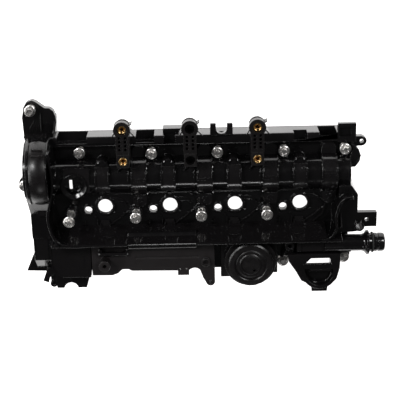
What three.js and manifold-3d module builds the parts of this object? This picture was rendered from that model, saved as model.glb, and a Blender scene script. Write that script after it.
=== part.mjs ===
// Moulded cylinder head cover of a four-cylinder diesel engine, with its built-in oil separator.
// Millimetres. X runs along the crankshaft, Y across the engine, Z away from the cylinder head.
// Sizes are laid out from the middle of the injector row at the gasket plane; the last lines
// move the finished group so that its origin is the middle of the bottom of its box.
import * as THREE from "three";
import { mergeVertices } from "three/addons/utils/BufferGeometryUtils.js";
import Module from "manifold-3d";

const wasm = await Module();
wasm.setup();

// ---------------------------------------------------------------- driving dimensions
const pitch = 91; // from one cylinder to the next
const cylinders = 4;
const wall = 3; // moulded wall
const gap = 0.3; // left between pieces that touch
const rimHeight = 77; // top of the lip round the injector valley
const valleyHeight = 38; // floor of the injector valley
const injectorY = 4; // line of the injector holes
const railFloorHeight = 24; // ledge that carries the outer row of bolts
const flangeHeight = 8;
const flangeWidth = 12;
const bodyFront = -96; // outer faces of the body
const bodyBack = 104;
const bodyLeft = -245;
const bodyRight = 215;
const bulgeRadius = 25; // camshaft bulge
const bulgeY = 45;
const bulgeAxisHeight = 28;
const domeRadius = 44; // timing wheel dome at the left end
const domeY = 60;
const domeAxisHeight = 44;
const domeShoulder = 12; // height of the dome's outer wall above its axis
const injectorBore = 10.3; // radius
const injectorDepth = 5.5; // from the raised ring down to the hole's lower edge
const portBore = 5.3; // radius of the small tube beside each injector
const sleeveOuter = 6.2; // radius of a bolt's steel sleeve
const sleeveInner = 3.9;
const boltShank = 3.2;
const boltFlange = 8;
const boltRaise = 12; // how far the outer bolts stand off their sleeves at rest
const towerHeight = 72; // top of the three mounting towers
const insertOuter = 6.3;
const insertInner = 2.4;
const lidHeight = 52; // top of the oil separator lid
const roofHeight = 34; // roof of the shell below the separator
const capRadius = 31.7; // pressure regulator cap
const regulatorX = 66;
const regulatorY = -78;
const neckX = 164; // oil filler neck
const neckY = -92;
const spigotY = -52.5; // breather spigot
const spigotHeight = 55;
const spigotRadius = 12;

const injectorX = Array.from({ length: cylinders }, (_, i) => (i - (cylinders - 1) / 2) * pitch);
const far = 400;

// ---------------------------------------------------------------- solids
function solid(geometry) {
  const bare = geometry.index ? geometry.toNonIndexed() : geometry.clone();
  bare.deleteAttribute("normal");
  bare.deleteAttribute("uv");
  const merged = mergeVertices(bare, 1e-3);
  return new wasm.Manifold(new wasm.Mesh({
    numProp: 3,
    vertProperties: merged.attributes.position.array,
    triVerts: new Uint32Array(merged.index.array),
  }));
}

function geometryOf(shape) {
  const mesh = shape.getMesh();
  const geometry = new THREE.BufferGeometry();
  geometry.setAttribute("position", new THREE.BufferAttribute(mesh.vertProperties, 3));
  geometry.setIndex(new THREE.BufferAttribute(mesh.triVerts, 1));
  return geometry;
}

const union = (...shapes) => shapes.flat().reduce((all, next) => all.add(next));
const cut = (base, ...tools) => tools.flat().reduce((rest, tool) => rest.subtract(tool), base);

function box(x0, x1, y0, y1, z0, z1) {
  const geometry = new THREE.BoxGeometry(x1 - x0, y1 - y0, z1 - z0);
  return solid(geometry.translate((x0 + x1) / 2, (y0 + y1) / 2, (z0 + z1) / 2));
}

function disc(x, y, z0, z1, radius, sides = 24, topRadius = radius) {
  const geometry = new THREE.CylinderGeometry(topRadius, radius, z1 - z0, sides);
  return solid(geometry.rotateX(Math.PI / 2).translate(x, y, (z0 + z1) / 2));
}

function barX(x0, x1, y, z, radius, sides = 32, endRadius = radius) {
  const geometry = new THREE.CylinderGeometry(endRadius, radius, x1 - x0, sides);
  return solid(geometry.rotateZ(-Math.PI / 2).translate((x0 + x1) / 2, y, z));
}

// A plate of the given plan outline, between two heights.
function plate(points, z0, z1) {
  const shape = new THREE.Shape(points.map(([x, y]) => new THREE.Vector2(x, y)));
  const geometry = new THREE.ExtrudeGeometry(shape, { depth: z1 - z0, bevelEnabled: false });
  return solid(geometry.translate(0, 0, z0));
}

// A prism along X whose section is given as [y, z] points.
function prismX(section, x0, x1) {
  const shape = new THREE.Shape(section.map(([y, z]) => new THREE.Vector2(y, z)));
  const geometry = new THREE.ExtrudeGeometry(shape, { depth: x1 - x0, bevelEnabled: false });
  // Section x becomes Y, section y becomes Z and the depth becomes X.
  const turn = new THREE.Matrix4().set(0, 0, 1, x0, 1, 0, 0, 0, 0, 1, 0, 0, 0, 0, 0, 1);
  return solid(geometry.applyMatrix4(turn));
}

function arc(cx, cy, radius, from, to, steps = 12) {
  return Array.from({ length: steps + 1 }, (_, i) => {
    const angle = THREE.MathUtils.degToRad(from + ((to - from) * i) / steps);
    return [cx + radius * Math.cos(angle), cy + radius * Math.sin(angle)];
  });
}

// The outline moved inwards by a distance, corner by corner. The points run anticlockwise.
function inset(points, distance) {
  return points.map(([x, y], i) => {
    const [ax, ay] = points.at(i - 1);
    const [bx, by] = points[(i + 1) % points.length];
    const inNormal = new THREE.Vector2(ay - y, x - ax).normalize();
    const outNormal = new THREE.Vector2(y - by, bx - x).normalize();
    const middle = inNormal.clone().add(outNormal).normalize();
    const length = distance / middle.dot(inNormal);
    return [x + middle.x * length, y + middle.y * length];
  });
}

const pillX = (x, y, z0, z1, half, radius) => union(
  box(x - half, x + half, y - radius, y + radius, z0, z1),
  disc(x - half, y, z0, z1, radius, 12), disc(x + half, y, z0, z1, radius, 12));

const group = new THREE.Group();
const finishes = {
  cover: { color: 0x0d0c0c, roughness: 0.28, metalness: 0 },
  lid: { color: 0x1e1b1c, roughness: 0.5, metalness: 0 },
  rubber: { color: 0x121212, roughness: 0.75, metalness: 0 },
  steel: { color: 0xb9b6b3, roughness: 0.35, metalness: 1 },
  brass: { color: 0xd29a4e, roughness: 0.3, metalness: 1 },
};
function piece(name, shape, finish) {
  const mesh = new THREE.Mesh(geometryOf(shape), new THREE.MeshStandardMaterial(finishes[finish]));
  mesh.name = name;
  group.add(mesh);
  return shape;
}

// ---------------------------------------------------------------- captive bolts
// seat: top of the sleeve; foot: bottom of the sleeve; raise: how far the bolt stands off.
const seatHeight = railFloorHeight + 1;
const earHeight = 12;
const lugHeight = 14;
const railBolts = [
  { x: injectorX[0] - 32, y: 82 }, { x: injectorX[1] - 24, y: 79 }, { x: injectorX[2] - 23.5, y: 79 },
  { x: injectorX[3] - 22.5, y: 79 }, { x: injectorX[3] + 62.5, y: 80 },
].map((at) => ({ ...at, seat: seatHeight, raise: boltRaise }));
const valleySeat = 48;
const valleyRaise = [29, 19, 17, 17];
const valleyBolts = injectorX.map((x, i) => (
  { x: x - 47.3, y: -4, seat: valleySeat, raise: valleyRaise[i] }));
const endBolts = [
  { x: -234.5, y: 140, seat: earHeight + 1, raise: 10 },
  { x: -250, y: 31, seat: earHeight + 1, raise: 10 },
  { x: 114.5, y: -91, seat: lugHeight + 1, raise: 11 },
  { x: 202, y: -87, seat: lugHeight + 1, raise: 11 },
];
const boltGroups = [
  ["rail_bolt", railBolts, 38], ["valley_bolt", valleyBolts, 64],
  ["end_bolt", endBolts.slice(0, 2), 22], ["front_bolt", endBolts.slice(2), 25],
];
const allBolts = boltGroups.flatMap(([, bolts]) => bolts);

for (const [name, bolts, length] of boltGroups) {
  bolts.forEach(({ x, y, seat, raise }, i) => {
    const under = seat + raise;
    piece(`${name}_${i + 1}`, union(
      disc(x, y, under, under + 2.5, boltFlange, 16, boltFlange - 0.8),
      disc(x, y, under + 2, under + 8, 5, 6),
      disc(x, y, under - length + 3, under + 1, boltShank, 8),
      disc(x, y, under - length, under - length + 3.2, boltShank - 1.2, 8, boltShank)), "steel");
    piece(name.replace("bolt", "sleeve") + `_${i + 1}`, cut(
      disc(x, y, 0.5, seat, sleeveOuter, 14), disc(x, y, -1, seat + 1, sleeveInner, 12)), "steel");
  });
}

// ---------------------------------------------------------------- cover shell
// Section of the body across the engine, from front (-Y) to back (+Y).
const lipThickness = 3.5;
// The front wall of the valley, hollowed and steeper towards its rim.
const valleyWall = [[-25.5, valleyHeight], [-29, 45], [-32.2, 53], [-35, 61], [-37.4, 69]];
const valleyFoot = valleyWall[0][0];
const rimY = -39;
const railWidth = 15;
const railEdge = 3;
const railCrown = 35;
const bulgeBack = bulgeY + bulgeRadius;
// Angle at which the bulge's arc comes down to a level on the valley side.
const bulgeTurn = (radius, level) => 180 - (Math.asin((level - bulgeAxisHeight) / radius) * 180) / Math.PI;
const outerTurn = bulgeTurn(bulgeRadius, valleyHeight);
const innerTurn = bulgeTurn(bulgeRadius - wall, valleyHeight - wall);
const bulgeFront = arc(bulgeY, bulgeAxisHeight, bulgeRadius, 90, outerTurn, 1)[1][0];
const bodySection = [
  [bodyFront, 0], [bodyBack, 0],
  ...arc(bodyBack - railEdge, railCrown - railEdge, railEdge, 0, 90, 3),
  ...arc(bodyBack - railWidth + railEdge, railCrown - railEdge, railEdge, 90, 180, 3),
  [bodyBack - railWidth, railFloorHeight], [bulgeBack, railFloorHeight],
  ...arc(bulgeY, bulgeAxisHeight, bulgeRadius, 0, outerTurn, 14),
  ...valleyWall, [rimY, rimHeight], [rimY - lipThickness, rimHeight],
  [rimY - lipThickness - 4, roofHeight], [bodyFront, roofHeight],
];
const cavitySection = [
  [bodyFront + wall, flangeHeight], [bodyBack - wall, flangeHeight],
  [bodyBack - wall, railFloorHeight - wall], [bulgeBack - wall, railFloorHeight - wall],
  ...arc(bulgeY, bulgeAxisHeight, bulgeRadius - wall, 0, innerTurn, 8),
  [valleyFoot - 2 * wall, valleyHeight - wall],
  [rimY - 1, rimHeight - 14], [rimY - lipThickness - 1, roofHeight - wall],
  [bodyFront + wall, roofHeight - wall],
];
// Section of the left end, under the timing dome.
const endHeight = 46;
const endSection = [
  [bodyFront, 0], [bodyBack, 0], [bodyBack, domeAxisHeight + domeShoulder],
  ...arc(domeY, domeAxisHeight, domeRadius, 45, 149, 12),
  [-4, endHeight], [-40, endHeight], [-42, 40], [-76, 40], [bodyFront, 20],
];
const endCavity = [
  [bodyFront + wall, flangeHeight], [bodyBack - wall, flangeHeight],
  [bodyBack - wall, domeAxisHeight + domeShoulder - wall],
  ...arc(domeY, domeAxisHeight, domeRadius - wall, 47, 146, 10),
  [-3, endHeight - wall], [-37, endHeight - wall], [-40, 37], [-74, 37], [bodyFront + wall, 17],
];
const farRight = 206; // closed end of the camshaft bulge
const neckBack = -80; // the body stops here behind the oil filler neck
const flangeOutline = [
  [bodyLeft, bodyFront], [125, bodyFront], [125, neckBack], [206, neckBack], [206, -36],
  [bodyRight, -34], [bodyRight, 21],
  [farRight, 37], [farRight, 56], [213.5, 60], [213.5, bodyBack],
  [bodyLeft + 4, bodyBack], [bodyLeft + 3, 80], [bodyLeft, 20],
];
// The seal passes behind the front bolt that stands beside the neck.
const sealOutline = flangeOutline.map(([x, y]) => [x === 125 ? 100 : x < -200 ? x + 5 : x, y]);
const domeLeft = -234;
const domeRight = -211;
const valleyRight = 193;
const endTop = 60;

// Lip round the left, right and back corners of the valley, as a wall that follows a curve.
const lipPath = [
  [-208, 94], [-204.5, 66], [-203.5, 48], [-208, 26], [-213, 5], [-211, -14], [-205, -31], [-192, -40.5],
  [-160, -41],
];
const rightLipPath = [
  [162, -40.5], [176, -37], [184, -24], [183, -7], [188, 12], [196, 21], [farRight + 1, 22],
];
function wallAlong(points, thickness, z0, z1) {
  const curve = new THREE.CatmullRomCurve3(points.map(([x, y]) => new THREE.Vector3(x, y, 0)));
  const samples = curve.getPoints(points.length * 2);
  const left = [], right = [];
  samples.forEach((at, i) => {
    const along = curve.getTangent(i / (samples.length - 1));
    left.push([at.x - (along.y * thickness) / 2, at.y + (along.x * thickness) / 2]);
    right.push([at.x + (along.y * thickness) / 2, at.y - (along.x * thickness) / 2]);
  });
  return plate([...right, ...left.reverse()], z0, z1);
}

const earOutline = [
  [-246.5, 80], [-210, 80], [-209, 100], [-201, 118], [-201.5, 129], [-204, 136], [-209, 140],
  [-216, 140.5], [-227, 149], [-233, 152], [-240, 150], [-245, 142], [-248, 127],
];
const housingOutline = [ // housing at the front left
  [-217, -48], [-217, -75], ...arc(-192, -76, 25, 180, 250, 6), [-161, -100.5], [-159.5, -90], [-159, -48],
];
const strapHalf = 10.3;
const strapFoot = bulgeFront - 8;
const straps = injectorX.map((x, i) => (i < 3 ? x + 49.5 : x + 40));
const archX = injectorX.map((x) => x - 1);
const archHalf = 9.5;

const strapRise = 4;
const archRise = 5;
const archEnd = bulgeBack - 5; // middle of an arch's rounded end
const bulgeStrap = (x) => union(
  prismX([
    [bulgeBack + 12, railFloorHeight - 1], [bulgeBack + 12, railFloorHeight + 8],
    ...arc(bulgeY, bulgeAxisHeight, bulgeRadius + strapRise, 10, 142, 8),
    [strapFoot, valleyHeight + 7], [strapFoot, valleyHeight - 1],
  ], x - strapHalf, x + strapHalf),
  disc(x, strapFoot, valleyHeight - 1, valleyHeight + 7, strapHalf, 16),
  disc(x, bulgeBack + 10, railFloorHeight - 1, railFloorHeight + 8, strapHalf, 16));
const bulgeArch = (x) => union(
  prismX([
    [archEnd, railFloorHeight - 1], ...arc(bulgeY, bulgeAxisHeight, bulgeRadius + archRise, 48, 120, 6),
    [bulgeFront + 9, valleyHeight + 6],
  ], x - archHalf, x + archHalf),
  disc(x, archEnd, railFloorHeight - 1, valleyHeight + 9, archHalf, 16));

const neckRoom = union(
  box(125, far, bodyFront - 5, neckBack, -1, far),
  box(106.5, 130, bodyFront - 5, neckBack, lugHeight, far));
const outer = union(
  plate(flangeOutline, 0, flangeHeight),
  cut(prismX(bodySection, domeRight, valleyRight), neckRoom),
  // Right end: the bulge runs on to a closed end, and a block stands beside the valley.
  prismX([...bodySection.filter(([y]) => y > bulgeFront - 1), [bulgeFront, 0]], valleyRight - 1, farRight),
  plate([[valleyRight - 6, -36], [bodyRight, -34], [bodyRight, 21], [farRight, 34], [valleyRight - 4, 34]],
    0, endTop),
  box(valleyRight - 8, 206, neckBack, -40, 0, roofHeight),
  plate([[190, neckBack + 2], [190, -90], [209, -92], [206, neckBack + 2]], 0, lugHeight),
  box(188, 213.5, 89, bodyBack, 0, 35), box(188, 213.5, bodyBack - 1, 116, 27, 35),
  // Left end with the timing dome and its two rims.
  prismX(endSection, bodyLeft + 4, domeRight + 2),
  barX(domeLeft - 3.5, domeLeft, domeY, domeAxisHeight, domeRadius + 2.5, 32)
    .intersect(box(-far, far, -far, far, 20, far)),
  barX(domeRight + 1.5, -208.5, domeY, domeAxisHeight, domeRadius + 1.5, 32)
    .intersect(box(-far, far, 12, far, 20, far)),
  wallAlong(lipPath, lipThickness, 30, rimHeight),
  wallAlong(rightLipPath, lipThickness, valleyHeight - 4, rimHeight),
  plate(earOutline, 0, earHeight),
  prismX([[bodyBack - 1, 0], [130, 0], [104, 34]], -204, -201), // web between ear and rail
  plate(housingOutline, 0, 50),
  // Flange lugs, front left gusset and the clamp saddle under the housing.
  disc(-250, 31, 0, earHeight, 9.5),
  endBolts.slice(2).map(({ x, y }) => disc(x, y, 0, lugHeight, 10.5)),
  plate([[-245, -74], [-257, -101], [-226, -102], [-226, -80]], 0, 20),
  plate([[-226, -95], [-234, -116], [-226, -119], [-224, -111], [-216, -104], [-214, -128],
    ...arc(-193.5, -130, 10.5, 169, 11, 8), [-171, -128], [-164, -104], [-160, -95]], 6, 24),
  disc(-218.5, -121, 6, 24, 5.3, 16),
  box(-223, -212, -122, -100, 6, 20),
  // Small parts of the outline at the left and right ends.
  box(bodyLeft - 8, bodyLeft + 6, 44, 58, 0, 14),
  plate([[206, 60], [214, 62], [220.5, 70], [217, 80], [209, 88], [205, 88]], 18, 40),
  plate([[farRight - 2, 57], [212, 62], [220, 68], [218.5, 62], [213, 54.5], [farRight - 2, 54]], 18, 40),
  plate([[212, 82], ...arc(222, 89, 7, -90, 90, 8), [212, 96]], 20, 31),
  plate([[205, -27], [242, -27], [242, -5.5], [205, -5.5]], 50, 60),
  disc(217.5, -25, 36, 66, 6.8),
  prismX([[-26, 58], [-4, 58], [-22, 74]], 190, 192.5),
  straps.map(bulgeStrap), archX.map(bulgeArch),
);

const cavity = union(
  plate(inset(sealOutline, flangeWidth), -1, flangeHeight + 0.5),
  cut(prismX(cavitySection, domeRight - 2, valleyRight - wall),
    box(106.5 - wall, far, bodyFront - 5, neckBack + wall, 0, far)),
  prismX(endCavity, bodyLeft + 11.5, domeRight + 2 - wall),
  prismX([...cavitySection.filter(([y]) => y > bulgeFront + 1), [bulgeFront + wall, flangeHeight]],
    valleyRight - wall - 2, farRight - wall),
  plate(inset(housingOutline, wall), flangeHeight, 50 - wall),
);

const ringTop = valleyHeight + 1.5; // raised rings round the injector holes and the ports
const portOffset = 23.8;
const portY = injectorY - 5.5;
const bulgeRib = (x) => box(x - 1.2, x + 1.2, bulgeBack - 6, bodyBack - 1, flangeHeight, railFloorHeight);
const columns = union(
  allBolts.map(({ x, y, seat }) => disc(x, y, 0, seat - 1, sleeveOuter + wall, 12)),
  injectorX.map((x) => disc(x, injectorY, ringTop - injectorDepth, ringTop, injectorBore + wall + 1, 24)),
  injectorX.map((x) => disc(x - portOffset, portY, valleyHeight - 9, ringTop, portBore + wall - 0.5, 12)),
  injectorX.map((x) => bulgeRib(x + 12)),
);

const grooveWidth = 4.2;
const grooveInset = 2.6;
const grooveDepth = 3;
const groove = plate(inset(sealOutline, grooveInset), -1, grooveDepth)
  .subtract(plate(inset(sealOutline, grooveInset + grooveWidth), -2, grooveDepth + 1));

const duct = { x0: -105.5, x1: -9.5, y0: -57, y1: -27, foot: 54 };
const bores = union(
  allBolts.map(({ x, y, seat }) => disc(x, y, -1, seat + 1, sleeveOuter + gap, 14)),
  allBolts.map(({ x, y, seat }) => disc(x, y, seat - 1, far, boltFlange + 2, 18)),
  injectorX.map((x) => disc(x, injectorY, 0, far, injectorBore)),
  injectorX.map((x) => disc(x - portOffset, portY, 0, far, portBore, 14)),
  injectorX.map((x) => pillX(x + 22, injectorY - 3, valleyHeight - 1.5, valleyHeight + 20, 5, 8).intersect(
    disc(x + 14, injectorY - 4, 0, far, 22, 20))),
  // See-through slits beside the outer bolts.
  injectorX.map((x) => box(x - 12, x - 6, 81, 84.5, 0, 23.5)),
  // Slit of the oblique port near the timing dome.
  box(-183, -179, 34.5, 48.5, 0, far),
  // Oil passages into the separator chamber, and the chamber's way back.
  disc(-140, -66, roofHeight - 10, roofHeight + 5, 8), disc(regulatorX, regulatorY, 20, roofHeight + 5, 10),
  disc(-60, -75, 20, roofHeight + 5, 8),
  // Room for the crossover duct in the rim.
  box(duct.x0 - gap, duct.x1 + gap, duct.y0 - 1, duct.y1, duct.foot, far),
  disc(217.5, -25, 0, far, 5), disc(227.8, -16.4, 0, far, 2.6, 16), disc(222, 89, 0, far, 2.8, 16),
  disc(-218.5, -121, 20, far, 2.2, 12),
  box(191, 207, 98, 110, 30, far),
);

piece("cover_shell", cut(union(cut(outer, cavity), columns), bores, groove), "cover");

// ---------------------------------------------------------------- seals
const gasketStandOff = 1.2;
piece("perimeter_gasket", plate(inset(sealOutline, grooveInset + gap), -gasketStandOff, grooveDepth - gap)
  .subtract(plate(inset(sealOutline, grooveInset + grooveWidth - gap), -2, grooveDepth)), "rubber");
const sealTop = ringTop - injectorDepth - gap;
injectorX.forEach((x, i) => piece(`injector_seal_${i + 1}`, cut(
  union(disc(x, injectorY, sealTop - 3, sealTop, injectorBore + wall + 1, 20),
    disc(x, injectorY, sealTop - 5, sealTop - 2.5, injectorBore + wall + 2.5, 20)),
  disc(x, injectorY, 0, far, injectorBore + 2.4, 20)), "rubber"));

// ---------------------------------------------------------------- mounting towers
const towerBossRadius = 11.6;
const towerBossDepth = 20;
const towerHalf = 8.6;
const towerBossY = 123.5;
const towerBlockY = 79.5;
const towerX = injectorX.slice(0, 3).map((x) => x + 30.3);
const insertLength = 13;
const insertRecess = 3;
const insertPocket = insertLength + insertRecess + gap;
function tower(x) {
  const web = railCrown + 2 * gap;
  const seatOnRail = railFloorHeight + gap;
  const body = union(
    disc(x, towerBossY, towerHeight - towerBossDepth, towerHeight, towerBossRadius),
    box(x - towerHalf, x + towerHalf, towerBlockY, towerBossY, web, towerHeight),
    box(x - towerHalf, x + towerHalf, towerBlockY - 9, towerBlockY + 9, seatOnRail, towerHeight));
  const slots = [-4, 4].flatMap((dx) => [0, 1, 2, 3].map((row) => (
    box(x + dx - 1.5, x + dx + 1.5, 95 + row * 5.6, 98.4 + row * 5.6, towerHeight - 7, far))));
  return cut(body, slots,
    disc(x, towerBossY, towerHeight - insertPocket, far, insertOuter + gap),
    disc(x, towerBlockY, towerHeight - insertPocket, far, insertOuter + gap),
    box(x - towerHalf + wall, x + towerHalf - wall, towerBlockY + 10, towerBossY - 9, 0, towerHeight - 12));
}
const insert = (x, y, top) => cut(
  disc(x, y, top - insertLength, top, insertOuter, 24), disc(x, y, 0, far, insertInner, 14),
  disc(x, y, top - 1.2, top + 1, insertInner, 14, insertInner + 2.2));
towerX.forEach((x, i) => {
  piece(`mount_tower_${i + 1}`, tower(x), "lid");
  if (i === 1) return; // the middle tower has plain holes
  piece(`tower_insert_${i + 1}_back`, insert(x, towerBossY, towerHeight - insertRecess), "brass");
  piece(`tower_insert_${i + 1}_front`, insert(x, towerBlockY, towerHeight), "brass");
});
piece("pipe_clip", cut(
  box(12.5, 43.5, 104.3, 107.5, 10, 40).add(box(12.5, 43.5, 104.3, 121, 34, 40)),
  box(20.5, 35.5, 114, far, 0, far), disc(28, 114, 30, 50, 7.5)), "cover");

// ---------------------------------------------------------------- oil separator
const onRoof = roofHeight + gap;
const lidRight = 15.6;
const lidOutline = [
  [-158.5, -47], [-158.5, -96.5], [-130, -97], [-122, -94],
  ...arc(-111, -97, 10, 140, 45, 5), [-101, -90.7], [-22, -92],
  ...arc(-13, -98, 10, 125, 40, 4), [-1, -104],
  ...arc(9.3, -110, 6.5, 190, 350, 6), [lidRight, -103], [lidRight, -47],
];
piece("separator_lid", cut(
  union(
    plate(lidOutline, onRoof, lidHeight),
    disc(-139.3, -75.5, lidHeight - 1, 70, 8), disc(3.2, -79.2, lidHeight - 1, lidHeight + 4, 6.5),
    box(-37, -21, -99, -90, 40, lidHeight)),
  plate(inset(lidOutline, wall), 0, lidHeight - wall).subtract(disc(9.3, -110, 0, 60, 10)),
  disc(-139.3, -75.5, 60, far, 2.8, 14), disc(3.2, -79.2, lidHeight - 1, far, 4.6),
  disc(9.3, -110.5, 0, far, 2.8),
  box(-96, -7, -72, -69.5, lidHeight - 1.6, far)), "lid");
piece("crossover_duct", prismX([
  [duct.y0, 52.4], [duct.y0, 54],
  ...arc(-42, 46, 18, 150, 45, 8).map(([y, z]) => [y, Math.max(z, 54.8)]).slice(1),
  [duct.y1 - gap, 60], [duct.y1 - gap, duct.foot + gap], [-30, duct.foot + gap], [-33, 58], [-50, 58],
  [-54, 52.4],
], duct.x0, duct.x1), "cover");
piece("separator_baffle", cut(
  plate(inset(lidOutline, wall + gap), roofHeight + 5, roofHeight + 6.5),
  disc(9.3, -110, 0, far, 12), box(-70, -50, -85, -65, 0, far), box(-148, -135, -80, -58, 0, far)), "lid");
[-44, -26].forEach((x, i) => piece(`swirl_tube_${i + 1}`, cut(
  disc(x, -62, roofHeight + 6.8, lidHeight - wall - gap, 6, 20), disc(x, -62, 0, far, 4.4, 20)), "lid"));
const drain = { x: -60, y: -75 };
piece("drain_valve", union(
  disc(drain.x, drain.y, onRoof, roofHeight + 2.5, 10.5, 20),
  disc(drain.x, drain.y, roofHeight - 8, roofHeight + 1, 4, 12)), "rubber");
piece("harness_clip", union(
  box(-146, -108, -63.5, -59.5, lidHeight + gap, lidHeight + 7),
  box(-147.5, -143, -65, -55, lidHeight + gap, lidHeight + 5),
  box(-111, -106.5, -65, -58, lidHeight + gap, lidHeight + 5)), "cover");

// ---------------------------------------------------------------- pressure regulator
const cupTop = 58;
const cupRadius = 30;
piece("regulator_housing", cut(
  union(
    box(24.4, 60, -108, -47, onRoof, 40), disc(regulatorX, regulatorY, onRoof, cupTop, 36.5, 36),
    box(regulatorX, 105, -100, -47, onRoof, 47)),
  box(0, 200, -47, 0, 0, far),
  disc(regulatorX, regulatorY, 38, far, cupRadius, 30), disc(regulatorX, regulatorY, 30, far, 8)), "lid");
const diaphragmTop = cupTop + 1.6;
piece("regulator_diaphragm", cut(
  disc(regulatorX, regulatorY, cupTop + gap, diaphragmTop, cupRadius + 1.4, 30),
  disc(regulatorX, regulatorY, 0, far, 13.4)), "rubber");
const capTop = 70;
const notches = [-120, -107, -68, -55].map((degrees) => {
  const angle = THREE.MathUtils.degToRad(degrees);
  const [x, y] = [regulatorX + capRadius * Math.cos(angle), regulatorY + capRadius * Math.sin(angle)];
  return disc(x, y, 0, far, 2, 8);
});
piece("regulator_cap", cut(
  disc(regulatorX, regulatorY, diaphragmTop + gap, capTop, capRadius, 40),
  disc(regulatorX, regulatorY, 0, capTop - 3.5, capRadius - wall, 30),
  disc(regulatorX, regulatorY, capTop - 1.5, far, 22, 32).subtract(disc(regulatorX, regulatorY, 0, 99, 16)),
  disc(regulatorX + 5, regulatorY - 9, 0, far, 2, 12), notches), "lid");
const plateTop = cupTop + 1.4;
piece("regulator_plate", union(
  disc(regulatorX, regulatorY, plateTop - 2, plateTop, 13),
  disc(regulatorX, regulatorY, 49, plateTop - 1, 7, 20)), "steel");
const spring = { radius: 10, turns: 4, foot: 39.6, length: 15.8 };
class Helix extends THREE.Curve {
  getPoint(t) {
    const turn = 2 * Math.PI * spring.turns * t;
    return new THREE.Vector3(
      regulatorX + spring.radius * Math.cos(turn), regulatorY + spring.radius * Math.sin(turn),
      spring.foot + spring.length * t);
  }
}
const wire = new THREE.Shape(arc(0, 0, 1, 0, 288, 4).map(([x, y]) => new THREE.Vector2(x, y)));
piece("regulator_spring", solid(new THREE.ExtrudeGeometry(wire, {
  steps: 40, bevelEnabled: false, extrudePath: new Helix(),
})), "steel");

// ---------------------------------------------------------------- oil filler neck
const neckOutline = [
  [118.5, -67.5], [120, -78], [130.5, -94], [138, -108], ...arc(neckX, -97, 24.5, 215, 325, 8), [188.5, -106],
  [192.5, -90], [193.5, -67.5],
];
const neckHeight = 60;
const neckMouth = [[151.5, -74], [178, -74], [180.5, -80]];
piece("oil_filler_neck", cut(
  union(plate(neckOutline, onRoof, neckHeight), box(153, 175.5, -126, -116, 46, neckHeight - 2)),
  plate([...neckMouth, [183, -95], ...arc(neckX, -97, 19, -10, -170, 10), [141, -85]], 49, far),
  plate([...neckMouth, [180, -91.5], [143, -91.5], [141, -85]], 0, far)).add(
  box(139, 184, -91, -84, neckHeight - 4, neckHeight)), "cover");

// ---------------------------------------------------------------- breather spigot
const spigotEnd = 254;
piece("breather_spigot", cut(
  union(
    barX(194, spigotEnd - 15, spigotY, spigotHeight, spigotRadius, 24),
    barX(226, 229, spigotY, spigotHeight, 14, 24, 17.5), barX(229, 232, spigotY, spigotHeight, 17.5, 24),
    barX(spigotEnd - 15, spigotEnd - 3, spigotY, spigotHeight, 13.2, 24),
    barX(spigotEnd - 3.01, spigotEnd, spigotY, spigotHeight, 13.2, 24, 11.5),
    barX(232, 235.5, spigotY, spigotHeight, 13.2, 24),
    plate([[131, -62], [131, -48], [200, -48], [200, -64], [165, -66]], onRoof, 62),
  ),
  barX(140, far, spigotY, spigotHeight, spigotRadius - wall, 20),
  barX(140, 196, spigotY, spigotHeight - 12, spigotRadius - wall, 20)), "cover");
piece("spigot_o_ring", solid(new THREE.TorusGeometry(spigotRadius + 1.6, 1.3, 6, 24)
  .rotateY(Math.PI / 2).translate(237.3, spigotY, spigotHeight)), "rubber");
piece("harness_eye", cut(
  union(disc(121, -53, onRoof, 64, 6.5), prismX([[-53, 60], [-53, onRoof], [-78, onRoof]], 115.5, 117.5)),
  disc(121, -53, 50, far, 2.8, 14)), "cover");

// ---------------------------------------------------------------- origin
group.updateMatrixWorld(true);
const extent = new THREE.Box3().setFromObject(group);
const middle = extent.getCenter(new THREE.Vector3());
group.position.set(-middle.x, -middle.y, -extent.min.z);

export default group;
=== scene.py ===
import math
import bpy
import bmesh
from mathutils import Matrix, Vector


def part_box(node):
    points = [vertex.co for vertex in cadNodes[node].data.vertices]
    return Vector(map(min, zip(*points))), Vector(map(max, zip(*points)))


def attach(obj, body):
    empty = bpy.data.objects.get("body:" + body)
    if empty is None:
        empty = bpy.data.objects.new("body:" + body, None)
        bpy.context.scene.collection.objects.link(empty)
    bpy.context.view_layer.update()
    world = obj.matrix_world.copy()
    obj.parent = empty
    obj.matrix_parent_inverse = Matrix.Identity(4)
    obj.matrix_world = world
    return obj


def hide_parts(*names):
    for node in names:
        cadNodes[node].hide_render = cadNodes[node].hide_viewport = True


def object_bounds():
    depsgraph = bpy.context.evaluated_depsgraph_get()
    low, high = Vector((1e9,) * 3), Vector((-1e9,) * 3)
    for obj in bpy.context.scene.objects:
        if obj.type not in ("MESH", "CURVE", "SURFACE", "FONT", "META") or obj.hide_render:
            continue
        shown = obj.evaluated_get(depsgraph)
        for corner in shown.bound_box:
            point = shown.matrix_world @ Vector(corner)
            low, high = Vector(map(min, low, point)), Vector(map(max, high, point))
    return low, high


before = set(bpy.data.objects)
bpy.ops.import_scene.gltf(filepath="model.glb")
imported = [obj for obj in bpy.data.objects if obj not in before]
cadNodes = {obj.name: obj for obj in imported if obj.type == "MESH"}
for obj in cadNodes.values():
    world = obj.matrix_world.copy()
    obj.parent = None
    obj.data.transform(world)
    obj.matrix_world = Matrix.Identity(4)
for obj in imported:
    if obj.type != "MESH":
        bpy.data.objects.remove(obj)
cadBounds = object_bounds()
mm = 0.001

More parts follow.
